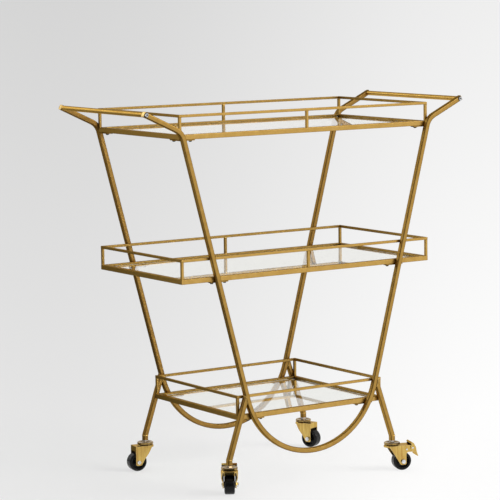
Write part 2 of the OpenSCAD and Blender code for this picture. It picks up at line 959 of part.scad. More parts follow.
module rear_right_axle() {
    color("silver") at_caster(3) axle();
}

module rear_right_wheel() {
    color("black") at_caster(3) wheel();
}

module front_left_brake_pedal() {
    color("gold") at_caster(0) brake_pedal();
}

module front_left_brake_pins() {
    color("dimgray") at_caster(0) brake_pins();
}

module front_left_brake_leaf() {
    color("gray") at_caster(0) brake_leaf();
}

module front_right_brake_pedal() {
    color("gold") at_caster(1) brake_pedal();
}

module front_right_brake_pins() {
    color("dimgray") at_caster(1) brake_pins();
}

module front_right_brake_leaf() {
    color("gray") at_caster(1) brake_leaf();
}

front_frame_tube();
rear_frame_tube();
arm_end_caps();
front_left_leg();
front_right_leg();
rear_left_leg();
rear_right_leg();
leg_inserts();
left_handle();
right_handle();
handle_screws();
front_tray_brackets();
rear_tray_brackets();
top_tray_rails();
top_gallery_bars();
top_gallery_posts();
top_glass_tabs();
top_glass_pads();
top_glass();
top_tray_bolts();
middle_tray_rails();
middle_gallery_bars();
middle_gallery_posts();
middle_glass_tabs();
middle_glass_pads();
middle_glass();
middle_tray_bolts();
bottom_tray_rails();
bottom_gallery_bars();
bottom_gallery_posts();
bottom_glass_tabs();
bottom_glass_pads();
bottom_glass();
bottom_tray_bolts();
caster_stems();
caster_nuts();
caster_cups();
caster_balls();
front_left_fork();
front_left_axle();
front_left_wheel();
front_right_fork();
front_right_axle();
front_right_wheel();
rear_left_fork();
rear_left_axle();
rear_left_wheel();
rear_right_fork();
rear_right_axle();
rear_right_wheel();
front_left_brake_pedal();
front_left_brake_pins();
front_left_brake_leaf();
front_right_brake_pedal();
front_right_brake_pins();
front_right_brake_leaf();
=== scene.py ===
import json
import math

import bmesh
import bpy
from mathutils import Matrix, Vector


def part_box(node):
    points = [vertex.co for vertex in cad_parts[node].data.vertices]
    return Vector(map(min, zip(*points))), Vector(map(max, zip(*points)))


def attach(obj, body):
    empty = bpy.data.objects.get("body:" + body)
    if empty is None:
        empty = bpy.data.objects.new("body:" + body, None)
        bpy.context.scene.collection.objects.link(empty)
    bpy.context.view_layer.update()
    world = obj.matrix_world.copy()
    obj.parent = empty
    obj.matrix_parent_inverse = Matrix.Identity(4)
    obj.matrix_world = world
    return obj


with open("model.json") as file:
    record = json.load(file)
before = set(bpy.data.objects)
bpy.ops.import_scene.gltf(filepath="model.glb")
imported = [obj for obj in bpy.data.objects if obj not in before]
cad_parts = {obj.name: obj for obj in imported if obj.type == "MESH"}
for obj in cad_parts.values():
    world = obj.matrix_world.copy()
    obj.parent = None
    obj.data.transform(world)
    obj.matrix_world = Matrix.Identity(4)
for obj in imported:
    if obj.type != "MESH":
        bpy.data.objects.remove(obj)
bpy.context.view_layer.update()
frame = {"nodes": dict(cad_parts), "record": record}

cad = frame["nodes"]


# ---- Camera ----------------------------------------------------------------
# The photograph is taken with a long lens from the front left, a little above the top tray.
# The sight line, roll, lens and shift come from a fit to the cart's own straight edges.
view_azimuth = math.radians(-34.647)
view_elevation = math.radians(6.626)
view_roll = math.radians(-0.6696)
view_target = Vector((0.0624, 0.0, 0.5816))
view_distance = 5.9877
photo_side = 500
focal_pixels = 2365.14
optical_centre = (286.02, 240.81)

back = Vector((
    math.sin(view_azimuth) * math.cos(view_elevation),
    -math.cos(view_azimuth) * math.cos(view_elevation),
    math.sin(view_elevation),
))
level_right = (-back).cross(Vector((0, 0, 1))).normalized()
level_up = level_right.cross(-back)
right = level_right * math.cos(view_roll) + level_up * math.sin(view_roll)
up = level_up * math.cos(view_roll) - level_right * math.sin(view_roll)

lens = bpy.data.cameras.new("photo_lens")
lens.sensor_fit = "HORIZONTAL"
lens.lens = focal_pixels / photo_side * lens.sensor_width
lens.shift_x = (photo_side / 2 - optical_centre[0]) / photo_side
lens.shift_y = (optical_centre[1] - photo_side / 2) / photo_side
lens.clip_end = 1000
camera = bpy.data.objects.new("photo_camera", lens)
bpy.context.scene.collection.objects.link(camera)
camera.matrix_world = Matrix.Translation(view_target + back * view_distance) @ Matrix(
    (right, up, back)).transposed().to_4x4()
bpy.context.scene.camera = camera
bpy.context.scene.view_settings.view_transform = "Standard"


# ---- Studio ----------------------------------------------------------------
# A pale seamless floor that runs out to the horizon. Its glow, seen by the camera and by glossy
# surfaces, is painted darker towards the left and the distance, as painted shade.
# A wide soft lamp stands at the front right. Dark cards at the left and beside the camera, and
# pale ones elsewhere, are seen only by glossy surfaces.
def put(tree, kind, inputs=None, **settings):
    """Adds a node. inputs holds sockets to link or values to set, by socket name or number."""
    made = tree.nodes.new(kind)
    for name, value in settings.items():
        setattr(made, name, value)
    for name, value in (inputs or {}).items():
        if isinstance(value, bpy.types.NodeSocket):
            tree.links.new(value, made.inputs[name])
        else:
            made.inputs[name].default_value = value
    return made


def math_node(tree, operation, a, b=0.0, c=0.0):
    """One Math node, and its result."""
    return put(tree, "ShaderNodeMath", {0: a, 1: b, 2: c}, operation=operation).outputs[0]


def new_material(name):
    """An empty node material, and its tree."""
    material = bpy.data.materials.new(name)
    material.use_nodes = True
    material.node_tree.nodes.clear()
    return material, material.node_tree


left_bearing, right_bearing = math.radians(28.6), math.radians(40.7)
left_tone, right_tone = -0.077, 0.066
far_tone, near_gain, brightest_tone = 0.885, 0.62, 1.04
display_gamma = 2.2
shown_share = 0.72


def studio_tone(tree, place):
    """The backdrop's tone at a place on the floor: painted shade that fades it to the left and into
    the distance.
    """
    stand = view_target + back * view_distance
    offset = put(tree, "ShaderNodeVectorMath", {0: place, 1: (stand.x, stand.y, 0)},
                 operation="SUBTRACT")
    parts = put(tree, "ShaderNodeSeparateXYZ", {0: offset.outputs[0]})
    bearing = math_node(tree, "ARCTAN2", parts.outputs["X"], parts.outputs["Y"])
    sideways = put(tree, "ShaderNodeMapRange", {
        "Value": bearing, "From Min": left_bearing, "From Max": right_bearing,
        "To Min": left_tone, "To Max": right_tone}, interpolation_type="SMOOTHSTEP").outputs[0]
    reach = put(tree, "ShaderNodeVectorMath", {0: offset.outputs[0]}, operation="LENGTH")
    near = math_node(tree, "DIVIDE", near_gain, reach.outputs["Value"])
    tone = math_node(tree, "ADD", math_node(tree, "ADD", sideways, far_tone), near)
    tone = math_node(tree, "MINIMUM", tone, brightest_tone)
    return math_node(tree, "POWER", tone, display_gamma)


floor_material, tree = new_material("studio_floor")
place = put(tree, "ShaderNodeTexCoord").outputs["Object"]
tone = studio_tone(tree, place)
lit = put(tree, "ShaderNodeBsdfDiffuse", {"Color": (0.8, 0.8, 0.8, 1)})
shown = put(tree, "ShaderNodeEmission", {"Color": tone, "Strength": 1.0})
path = put(tree, "ShaderNodeLightPath")
seen = math_node(tree, "ADD", path.outputs["Is Camera Ray"], path.outputs["Is Glossy Ray"])
seen = math_node(tree, "ADD", seen, path.outputs["Is Transmission Ray"])
share = math_node(tree, "MULTIPLY", math_node(tree, "MINIMUM", seen, 1.0), shown_share)
mixed = put(tree, "ShaderNodeMixShader", {0: share, 1: lit.outputs[0], 2: shown.outputs[0]})
put(tree, "ShaderNodeOutputMaterial", {"Surface": mixed.outputs[0]})

floor_mesh = bpy.data.meshes.new("studio_floor")
floor_reach = 400
floor_mesh.from_pydata(
    [(-floor_reach, -floor_reach, 0), (floor_reach, -floor_reach, 0),
     (floor_reach, floor_reach, 0), (-floor_reach, floor_reach, 0)], [], [(0, 1, 2, 3)])
floor_mesh.materials.append(floor_material)
floor = bpy.data.objects.new("studio_floor", floor_mesh)
bpy.context.scene.collection.objects.link(floor)

world = bpy.data.worlds.new("studio_air")
bpy.context.scene.world = world
world.use_nodes = True
tree = world.node_tree
tree.nodes.clear()
wall_low, wall_low_tone = 0.10, (0.90, 0.885, 0.86, 1)
wall_high, wall_high_tone = 0.62, (0.46, 0.45, 0.44, 1)
facing = put(tree, "ShaderNodeTexCoord").outputs["Generated"]
height = put(tree, "ShaderNodeSeparateXYZ", {0: facing}).outputs["Z"]
wall = put(tree, "ShaderNodeValToRGB", {"Fac": height})
wall.color_ramp.elements[0].position = wall_low
wall.color_ramp.elements[0].color = wall_low_tone
wall.color_ramp.elements[1].position = wall_high
wall.color_ramp.elements[1].color = wall_high_tone
path = put(tree, "ShaderNodeLightPath")
air_light = put(tree, "ShaderNodeBackground", {"Color": (0.975, 0.975, 0.98, 1), "Strength": 0.62})
air_shine = put(tree, "ShaderNodeBackground", {"Color": wall.outputs["Color"], "Strength": 1.0})
air_seen = put(tree, "ShaderNodeBackground", {"Color": (0.80, 0.80, 0.80, 1), "Strength": 1.0})
air = put(tree, "ShaderNodeMixShader", {
    0: path.outputs["Is Glossy Ray"], 1: air_light.outputs[0], 2: air_shine.outputs[0]})
seen = math_node(
    tree, "MAXIMUM", path.outputs["Is Camera Ray"], path.outputs["Is Transmission Ray"])
air = put(tree, "ShaderNodeMixShader", {0: seen, 1: air.outputs[0], 2: air_seen.outputs[0]})
put(tree, "ShaderNodeOutputWorld", {"Surface": air.outputs[0]})


def aim(thing, start, goal):
    """Stands a lamp or card at start, facing goal."""
    thing.location = start
    thing.rotation_euler = (Vector(goal) - Vector(start)).to_track_quat("-Z", "Y").to_euler()


cart_middle = (0.0, 0.0, 0.5)
key = bpy.data.lights.new("key_lamp", "SUN")
key.energy = 1.9
key.angle = math.radians(28)
key.color = (1.0, 0.985, 0.96)
key_lamp = bpy.data.objects.new("key_lamp", key)
bpy.context.scene.collection.objects.link(key_lamp)
aim(key_lamp, (3.2, -3.4, 3.6), cart_middle)


card_lift = 0.003


def card(name, start, goal, width, height, strength):
    """A flat studio card that only glossy surfaces see, facing goal or else upwards."""
    material, tree = new_material(name)
    glow = put(tree, "ShaderNodeEmission", {"Color": (1, 1, 1, 1), "Strength": strength})
    put(tree, "ShaderNodeOutputMaterial", {"Surface": glow.outputs[0]})
    mesh = bpy.data.meshes.new(name)
    w, h = width / 2, height / 2
    mesh.from_pydata([(-w, -h, 0), (w, -h, 0), (w, h, 0), (-w, h, 0)], [], [(0, 1, 2, 3)])
    mesh.materials.append(material)
    made = bpy.data.objects.new(name, mesh)
    bpy.context.scene.collection.objects.link(made)
    made.location = start
    if goal:
        aim(made, start, goal)
    made.visible_camera = False
    made.visible_diffuse = False
    made.visible_shadow = False
    made.visible_transmission = False


def card_strip(name, start, end, width, strength):
    """A studio card laid on the floor from start to end."""
    run = Vector(end) - Vector(start)
    middle = ((start[0] + end[0]) / 2, (start[1] + end[1]) / 2, card_lift)
    card(name, middle, None, width, run.length, strength)
    bpy.data.objects[name].rotation_euler.z = math.atan2(run.y, run.x) - math.pi / 2


# Dark cards, then pale ones: place, goal, width, height or length, and brightness
card("left_flag", (-2.5, 2.9, 0.12), (0.0, 0.0, 0.12), 2.8, 1.3, 0.115)
card_strip("left_floor_flag", (-0.36, 0.36), (-2.3, 3.1), 1.15, 0.16)
card("camera_flag", (-1.9, -2.75, 0.75), cart_middle, 2.2, 2.1, 0.04)
card_strip("camera_floor_flag", (-0.30, -0.28), (-1.9, -2.6), 0.95, 0.05)
card("front_box", (2.2, -2.2, 2.4), cart_middle, 1.3, 1.6, 3.2)
card("back_box", (-1.4, 3.0, 2.3), cart_middle, 2.4, 0.5, 2.2)
card("side_box", (-3.4, -0.4, 1.5), cart_middle, 0.8, 1.6, 2.0)


# ---- Finishes shared by the metal parts ------------------------------------
# Every metal part was lacquered or plated after welding, so the finish thins on the edges and is
# slightly cloudy over each face. Its occluded corners are darkened, patina together with painted
# shade, and on the darker finishes the edges carry painted shade too.
def shader_group(name, inputs, outputs):
    """A new shader node group with its named sockets, and its input and output nodes."""
    tree = bpy.data.node_groups.new(name, "ShaderNodeTree")
    for label, kind, value in inputs:
        tree.interface.new_socket(label, in_out="INPUT", socket_type=kind).default_value = value
    for label, kind in outputs:
        tree.interface.new_socket(label, in_out="OUTPUT", socket_type=kind)
    return tree, tree.nodes.new("NodeGroupInput"), tree.nodes.new("NodeGroupOutput")


def use_group(tree, group, inputs):
    """Places a node group in a tree."""
    return put(tree, "ShaderNodeGroup", inputs, node_tree=group)


FLOAT = "NodeSocketFloat"

# Cloudy blotches, fine speckle and orange peel of a sprayed or plated coat
clouds, clouds_in, clouds_out = shader_group(
    "coat_clouds",
    [("Blotch Size", FLOAT, 0.03), ("Peel Size", FLOAT, 0.0012), ("Stretch", FLOAT, 1.0)],
    [("Blotches", FLOAT), ("Speckle", FLOAT), ("Peel", FLOAT)])
place = put(clouds, "ShaderNodeTexCoord").outputs["Object"]
grid = put(clouds, "ShaderNodeCombineXYZ", {0: 1.0, 1: 1.0, 2: clouds_in.outputs["Stretch"]})
streaks = put(clouds, "ShaderNodeVectorMath", {0: place, 1: grid.outputs[0]}, operation="MULTIPLY")
blotch_scale = math_node(clouds, "DIVIDE", 1.0, clouds_in.outputs["Blotch Size"])
peel_scale = math_node(clouds, "DIVIDE", 1.0, clouds_in.outputs["Peel Size"])
blotches = put(clouds, "ShaderNodeTexNoise", {
    "Vector": streaks.outputs[0], "Scale": blotch_scale, "Detail": 5.0, "Roughness": 0.55})
speckle_share = 0.45
speckle = put(clouds, "ShaderNodeTexNoise", {
    "Vector": place, "Scale": math_node(clouds, "MULTIPLY", peel_scale, speckle_share),
    "Detail": 3.0, "Roughness": 0.7})
peel = put(clouds, "ShaderNodeTexNoise", {
    "Vector": place, "Scale": peel_scale, "Detail": 2.0, "Roughness": 0.5})
clouds.links.new(blotches.outputs["Fac"], clouds_out.inputs["Blotches"])
clouds.links.new(speckle.outputs["Fac"], clouds_out.inputs["Speckle"])
clouds.links.new(peel.outputs["Fac"], clouds_out.inputs["Peel"])

# Where a part is rubbed on its edges, and where its corners are occluded, for patina together
# with painted shade
age_and_shade, age_and_shade_in, age_and_shade_out = shader_group(
    "edges_and_corners",
    [("Edge Width", FLOAT, 0.0016), ("Corner Reach", FLOAT, 0.008)],
    [("Rubbed And Shaded", FLOAT), ("Patina And Shade", FLOAT)])
rounded = put(age_and_shade, "ShaderNodeBevel", {"Radius": age_and_shade_in.outputs["Edge Width"]}, samples=4)
true_normal = put(age_and_shade, "ShaderNodeNewGeometry").outputs["Normal"]
agreement = put(age_and_shade, "ShaderNodeVectorMath", {0: rounded.outputs[0], 1: true_normal},
                operation="DOT_PRODUCT")
rubbed_and_shaded = put(age_and_shade, "ShaderNodeMapRange", {
    "Value": agreement.outputs["Value"], "From Min": 0.995, "From Max": 0.86,
    "To Min": 0.0, "To Max": 1.0}).outputs[0]
shade = put(age_and_shade, "ShaderNodeAmbientOcclusion", {"Distance": age_and_shade_in.outputs["Corner Reach"]}, samples=6)
patina_and_shade = put(age_and_shade, "ShaderNodeMapRange", {
    "Value": shade.outputs["AO"], "From Min": 0.72, "From Max": 0.25,
    "To Min": 0.0, "To Max": 1.0}).outputs[0]
age_and_shade.links.new(rubbed_and_shaded, age_and_shade_out.inputs["Rubbed And Shaded"])
age_and_shade.links.new(patina_and_shade, age_and_shade_out.inputs["Patina And Shade"])

# Painted shade on the corners where a square tube turns. Level is 1 for parts that lie square to
# the axes, and 0 for the side frames, whose legs lean in their own plane.
corners, corners_in, corners_out = shader_group(
    "painted_corner_shade", [("Level", FLOAT, 0.0)], [("Corner Shade", FLOAT)])
facing = put(corners, "ShaderNodeTexCoord").outputs["Normal"]
facing = put(corners, "ShaderNodeVectorMath", {0: facing}, operation="ABSOLUTE").outputs[0]
parts = put(corners, "ShaderNodeSeparateXYZ", {0: facing})
square = math_node(corners, "MULTIPLY", parts.outputs["Y"], parts.outputs["Y"])
flat = math_node(corners, "SQRT", math_node(corners, "SUBTRACT", 1.0, square))
turn = math_node(corners, "MULTIPLY", parts.outputs["Y"], flat)
flat_turn = math_node(corners, "MULTIPLY", parts.outputs["X"], parts.outputs["Z"])
flat_turn = math_node(corners, "MULTIPLY", flat_turn, corners_in.outputs["Level"])
corner_shade_mask = put(corners, "ShaderNodeMapRange", {
    "Value": math_node(corners, "MAXIMUM", turn, flat_turn), "From Min": 0.16, "From Max": 0.42,
    "To Min": 0.0, "To Max": 1.0}).outputs[0]
corners.links.new(corner_shade_mask, corners_out.inputs["Corner Shade"])


def mix_colour(tree, share, a, b, blend="MIX"):
    """A colour between a and b."""
    made = put(tree, "ShaderNodeMix", {0: share, 6: a, 7: b}, data_type="RGBA", blend_type=blend)
    return made.outputs[2]


patina_and_shade_share, patina_dulling = 0.85, 0.15
cart_front, cart_rear = -0.17, 0.18


def coated_metal(name, coat, cloudy, rubbed_and_shaded, patina_and_shade, gloss, peel_height=0.000008,
                 blotch_size=0.03, peel_size=0.0012, corner_reach=0.008, edge_share=0.5,
                 edge_width=0.0016, stretch=1.0, grazing=(1.0, 1.0, 1.0),
                 corner_shade_share=0.0, level=0.0, rear_shade=1.0):
    """A lacquered or plated metal: coat and cloudy are its two body tones. Its edge tone is rubbed
    wear, and painted shade on the dark gold and brass finishes; its corner tone is patina together
    with painted shade where the corners are occluded. gloss is its lowest and highest roughness,
    and grazing the tint of its reflections at low angles. The corner shade share is how much
    painted shade darkens the corners of a square tube, and the rear shade the tone the finish is
    painted down to at the rear of the cart, as painted shade."""
    material, tree = new_material(name)
    cover = use_group(tree, clouds, {
        "Blotch Size": blotch_size, "Peel Size": peel_size, "Stretch": stretch})
    wear_and_shade = use_group(tree, age_and_shade, {"Edge Width": edge_width, "Corner Reach": corner_reach})
    spread = put(tree, "ShaderNodeMapRange", {
        "Value": cover.outputs["Blotches"], "From Min": 0.34, "From Max": 0.66}).outputs[0]
    tone = mix_colour(tree, spread, (*coat, 1), (*cloudy, 1))
    fleck = put(tree, "ShaderNodeMapRange", {
        "Value": cover.outputs["Speckle"], "From Min": 0.3, "From Max": 0.7,
        "To Min": 0.94, "To Max": 1.05}).outputs[0]
    tone = mix_colour(tree, 1.0, tone, fleck, "MULTIPLY")
    # The edges take the edge tone: rubbed wear, and painted shade on the dark gold and brass finishes.
    edge = math_node(tree, "MULTIPLY", wear_and_shade.outputs["Rubbed And Shaded"], edge_share)
    edge = math_node(tree, "MULTIPLY", edge, math_node(tree, "ADD", cover.outputs["Speckle"], 0.4))
    tone = mix_colour(tree, edge, tone, (*rubbed_and_shaded, 1))
    # Occluded corners take the corner tone: patina together with painted shade.
    stain_and_shade = math_node(tree, "MULTIPLY", wear_and_shade.outputs["Patina And Shade"], patina_and_shade_share)
    tone = mix_colour(tree, stain_and_shade, tone, (*patina_and_shade, 1))
    # Painted shade: the corner facets of square tubes take the dark edge tone.
    if corner_shade_share:
        corner_shade_mask = use_group(tree, corners, {"Level": level}).outputs["Corner Shade"]
        tone = mix_colour(tree, math_node(tree, "MULTIPLY", corner_shade_mask, corner_shade_share), tone, (*rubbed_and_shaded, 1))
    # Painted shade: the tone is darkened towards the rear of the cart.
    if rear_shade < 1:
        where = put(tree, "ShaderNodeTexCoord").outputs["Object"]
        depth = put(tree, "ShaderNodeSeparateXYZ", {0: where}).outputs["Y"]
        painted_rear_shade = put(tree, "ShaderNodeMapRange", {
            "Value": depth, "From Min": cart_front, "From Max": cart_rear,
            "To Min": 1.0, "To Max": rear_shade}).outputs[0]
        tone = mix_colour(tree, 1.0, tone, painted_rear_shade, "MULTIPLY")
    rough = put(tree, "ShaderNodeMapRange", {
        "Value": cover.outputs["Blotches"], "From Min": 0.3, "From Max": 0.7,
        "To Min": gloss[0], "To Max": gloss[1]}).outputs[0]
    rough = math_node(tree, "MULTIPLY_ADD", wear_and_shade.outputs["Patina And Shade"], patina_dulling, rough)
    bump = put(tree, "ShaderNodeBump", {
        "Height": cover.outputs["Peel"], "Distance": peel_height, "Strength": 1.0})
    body = put(tree, "ShaderNodeBsdfPrincipled", {
        "Base Color": tone, "Metallic": 1.0, "Roughness": rough, "Specular Tint": (*grazing, 1),
        "Normal": bump.outputs[0]})
    put(tree, "ShaderNodeOutputMaterial", {"Surface": body.outputs[0]})
    return material


def finish_nodes(material, *names):
    """Gives CAD nodes their finish."""
    for name in names:
        for slot in cad[name].material_slots:
            slot.material = material


# ---- Side frames and short legs --------------------------------------------
# Each side is one bent square steel tube: arm, leg, foot arch, leg and arm. The short legs are
# welded to it and all of it is sprayed with a satin antique gold lacquer.
# On this lacquer the edge tone and the tube corners are painted dark, as painted shade.
antique_gold = coated_metal(
    "antique_gold_lacquer",
    coat=(0.468, 0.284, 0.074), cloudy=(0.380, 0.222, 0.053), rubbed_and_shaded=(0.11, 0.058, 0.014),
    patina_and_shade=(0.030, 0.015, 0.004), gloss=(0.31, 0.42), blotch_size=0.018, corner_reach=0.012,
    edge_share=0.9, grazing=(0.50, 0.42, 0.30), corner_shade_share=0.75)
finish_nodes(
    antique_gold, "front_frame_tube", "front_left_leg", "front_right_leg", "front_tray_brackets")
# The rear frame, legs and brackets take a darker copy of the same lacquer, as painted shade.
rear_shaded_gold = coated_metal(
    "rear_shaded_gold_lacquer",
    coat=(0.362, 0.210, 0.054), cloudy=(0.300, 0.168, 0.041), rubbed_and_shaded=(0.08, 0.042, 0.010),
    patina_and_shade=(0.030, 0.015, 0.004), gloss=(0.31, 0.42), blotch_size=0.018, corner_reach=0.012,
    edge_share=0.9, grazing=(0.50, 0.42, 0.30), corner_shade_share=0.75)
finish_nodes(
    rear_shaded_gold, "rear_frame_tube", "rear_left_leg", "rear_right_leg", "rear_tray_brackets")


# ---- Leg weld beads --------------------------------------------------------
# Runs of weld, sprayed over with the frames, go all round the short legs where they bend into
# the feet and where they meet the long legs. Each puddle shows as a ripple. Their lacquer is
# painted lighter than the frames' as painted highlight, for the beads' glints.
weld_glint_gold = coated_metal(
    "weld_glint_gold_lacquer",
    coat=(0.66, 0.44, 0.13), cloudy=(0.50, 0.31, 0.08), rubbed_and_shaded=(0.85, 0.62, 0.25),
    patina_and_shade=(0.06, 0.03, 0.008), gloss=(0.16, 0.26), blotch_size=0.004, peel_size=0.0006,
    corner_reach=0.002)
ripple_step = 0.0005
bead_sides = 8
bead_end = 0.3


def weld_run(mesh, path, radius, closed=False):
    """Adds a run of weld along a path: a round bead with one ripple for each puddle."""
    points = [Vector(point) for point in path]
    if closed:
        points.append(points[0])
    line = []
    for a, b in zip(points, points[1:]):
        steps = max(1, round((b - a).length / ripple_step))
        line += [a.lerp(b, k / steps) for k in range(steps)]
    if not closed:
        line.append(points[-1])
    count = len(line)
    rings = []
    for k, centre in enumerate(line):
        before = line[k - 1] if closed or k else line[0]
        after = line[(k + 1) % count] if closed or k < count - 1 else line[-1]
        along = (after - before).normalized()
        across = along.orthogonal().normalized()
        size = radius * (1 + 0.16 * math.sin(k * math.pi / 2) + 0.12 * math.sin(k * 1.7))
        if not closed and k in (0, count - 1):
            size *= bead_end
        rings.append([mesh.verts.new(
            centre + Matrix.Rotation(2 * math.pi * j / bead_sides, 3, along) @ across * size)
            for j in range(bead_sides)])
    for k in range(count if closed else count - 1):
        here, there = rings[k], rings[(k + 1) % count]
        turn = min(range(bead_sides), key=lambda j: (there[j].co - here[0].co).length)
        for j in range(bead_sides):
            mesh.faces.new((here[j], here[(j + 1) % bead_sides],
                            there[(j + 1 + turn) % bead_sides], there[(j + turn) % bead_sides]))


def place_piece(name, mesh, material, body, smooth=True):
    """Makes a piece from mesh and lets it ride on a body."""
    bmesh.ops.recalc_face_normals(mesh, faces=mesh.faces)
    data = bpy.data.meshes.new(name)
    mesh.to_mesh(data)
    mesh.free()
    data.polygons.foreach_set("use_smooth", [smooth] * len(data.polygons))
    data.materials.append(material)
    made = bpy.data.objects.new(name, data)
    bpy.context.scene.collection.objects.link(made)
    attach(made, body)
    return made


half_tube = 0.00635
frame_y = 0.195
foot_x, knee_z = 0.2465, 0.0885
splay, lean = math.radians(18.8), math.radians(15)
arch_radius, arch_z = 0.198, 0.2815
knee_bead, joint_bead = 0.0007, 0.0009
face_edge, corner_mid = 0.56, 0.87  # shares of half_tube: where a face ends, and its corner
tube_outline = (
    (-1, -face_edge), (-1, face_edge), (-corner_mid, corner_mid), (-face_edge, 1),
    (face_edge, 1), (corner_mid, corner_mid), (1, face_edge), (1, -face_edge),
    (corner_mid, -corner_mid), (face_edge, -1), (-face_edge, -1), (-corner_mid, -corner_mid))


def tube_loop(side_x, side_y, low, high):
    """A loop round a short leg's square tube, cut by a slope from low to high, both (x, z)."""
    loop = []
    for u, v in tube_outline:
        share = (u + 1) / 2
        loop.append((side_x * (low[0] + (high[0] - low[0]) * share),
                     side_y * frame_y + v * half_tube,
                     low[1] + (high[1] - low[1]) * share))
    return loop


def joint_point(face):
    """Where one face of a short leg meets the outer face of its long leg, as (x, z)."""
    start = foot_x + face * half_tube / math.cos(splay) + knee_z * math.tan(splay)
    leg = (arch_radius + half_tube - arch_z * math.sin(lean)) / math.cos(lean)
    z = (start - leg) / (math.tan(lean) + math.tan(splay))
    return leg + z * math.tan(lean), z


knee_rise = half_tube * math.tan(splay / 2)
knee_ends = ((foot_x - half_tube, knee_z - knee_rise), (foot_x + half_tube, knee_z + knee_rise))
joint_ends = (joint_point(-1), joint_point(1))
beads = bmesh.new()
for side_x in (-1, 1):
    for side_y in (-1, 1):
        weld_run(beads, tube_loop(side_x, side_y, *knee_ends), knee_bead, closed=True)
        weld_run(beads, tube_loop(side_x, side_y, *joint_ends), joint_bead, closed=True)
place_piece("leg_weld_beads", beads, weld_glint_gold, "cart")


# ---- Handles ---------------------------------------------------------------
# Two round rods between the arms, lacquered like the frames but rubbed smooth by hands. A zinc
# plated socket screw holds each end, and a bright brass plate closes the end of each arm.
handle_gold = coated_metal(
    "handle_gold_lacquer",
    coat=(0.730, 0.460, 0.120), cloudy=(0.655, 0.400, 0.098), rubbed_and_shaded=(0.78, 0.50, 0.17),
    patina_and_shade=(0.06, 0.03, 0.01), gloss=(0.27, 0.36), blotch_size=0.05, grazing=(0.62, 0.52, 0.38))
finish_nodes(handle_gold, "left_handle", "right_handle")

# The plates' edges are painted dark in the edge tone, as painted shade.
bright_brass = coated_metal(
    "bright_brass",
    coat=(0.74, 0.53, 0.20), cloudy=(0.62, 0.42, 0.14), rubbed_and_shaded=(0.10, 0.055, 0.012),
    patina_and_shade=(0.05, 0.025, 0.006), gloss=(0.20, 0.30), blotch_size=0.006, peel_size=0.0006,
    peel_height=0.000006, corner_reach=0.003, edge_share=1.0, edge_width=0.0028)
finish_nodes(bright_brass, "arm_end_caps")

zinc_steel = coated_metal(
    "zinc_plated_steel",
    coat=(0.86, 0.87, 0.88), cloudy=(0.66, 0.67, 0.69), rubbed_and_shaded=(0.9, 0.9, 0.9),
    patina_and_shade=(0.03, 0.03, 0.032), gloss=(0.14, 0.30), blotch_size=0.006, peel_size=0.0005,
    peel_height=0.000008, corner_reach=0.003)
finish_nodes(zinc_steel, "handle_screws", "leg_inserts")


# ---- Painted shade round and in the handle screws --------------------------
# A thin dark ring round each handle screw is painted shade for the shadow gap round its head, and
# a dark disc just inside each screw's hexagon socket is painted shade for the socket's depth.
screw_shade_black = coated_metal(
    "painted_screw_shade",
    coat=(0.020, 0.019, 0.018), cloudy=(0.012, 0.011, 0.010), rubbed_and_shaded=(0.10, 0.09, 0.08),
    patina_and_shade=(0.004, 0.004, 0.004), gloss=(0.28, 0.40), blotch_size=0.003, peel_size=0.0004,
    peel_height=0.00001, corner_reach=0.001)


def turn_ring(mesh, profile, centre, axis, steps=64):
    """Adds a ring turned from a closed profile of (radius, height) points round an axis."""
    stand = Vector(axis).to_track_quat("Z", "Y").to_matrix()
    rings = [[mesh.verts.new(Vector(centre) + stand @ Vector((
        radius * math.cos(2 * math.pi * k / steps), radius * math.sin(2 * math.pi * k / steps),
        height))) for radius, height in profile] for k in range(steps)]
    for k in range(steps):
        here, there = rings[k], rings[(k + 1) % steps]
        for j in range(len(profile)):
            after = (j + 1) % len(profile)
            mesh.faces.new((here[j], there[j], there[after], here[after]))


handle_x, handle_z = 0.466, 0.9328
shade_ring_profile = [
    (0.00485, 0.0), (0.00485, 0.0008), (0.0051, 0.0010), (0.0055, 0.0009), (0.0058, 0.0004),
    (0.0059, 0.0)]
socket_corner, socket_low, socket_high = 0.00258, 0.0020, 0.0023
pin_hole = 0.00005
socket_shade_profile = [
    (pin_hole, socket_low), (pin_hole, socket_high),
    (socket_corner, socket_high), (socket_corner, socket_low)]
shade_rings, socket_shades = bmesh.new(), bmesh.new()
for side_x in (-1, 1):
    for side_y in (-1, 1):
        seat = (side_x * handle_x, side_y * (frame_y + half_tube), handle_z)
        turn_ring(shade_rings, shade_ring_profile, seat, (0, side_y, 0))
        turn_ring(socket_shades, socket_shade_profile, seat, (0, side_y, 0), steps=6)
place_piece("handle_screw_shade_rings", shade_rings, screw_shade_black, "cart")
place_piece("screw_socket_shades", socket_shades, screw_shade_black, "cart")


# ---- Trays -----------------------------------------------------------------
# Each tray has a mitred square rail, a thinner gallery bar on posts above it and corner tabs,
# all welded and lacquered with the frames. Dark bolts hold it to brackets on the legs.
# The trays' lacquer is painted darker on the tube corners and towards the rear of the cart, as painted
# shade.
tray_gold = coated_metal(
    "tray_gold_lacquer",
    coat=(0.570, 0.358, 0.101), cloudy=(0.482, 0.290, 0.075), rubbed_and_shaded=(0.15, 0.08, 0.020),
    patina_and_shade=(0.030, 0.015, 0.004), gloss=(0.29, 0.40), blotch_size=0.018, corner_reach=0.010,
    edge_share=0.8, grazing=(0.50, 0.42, 0.30), corner_shade_share=0.50, level=1.0, rear_shade=0.76)
finish_nodes(
    tray_gold,
    *[f"{tier}_{part}" for tier in ("top", "middle", "bottom")
      for part in ("tray_rails", "gallery_bars", "gallery_posts", "glass_tabs")])

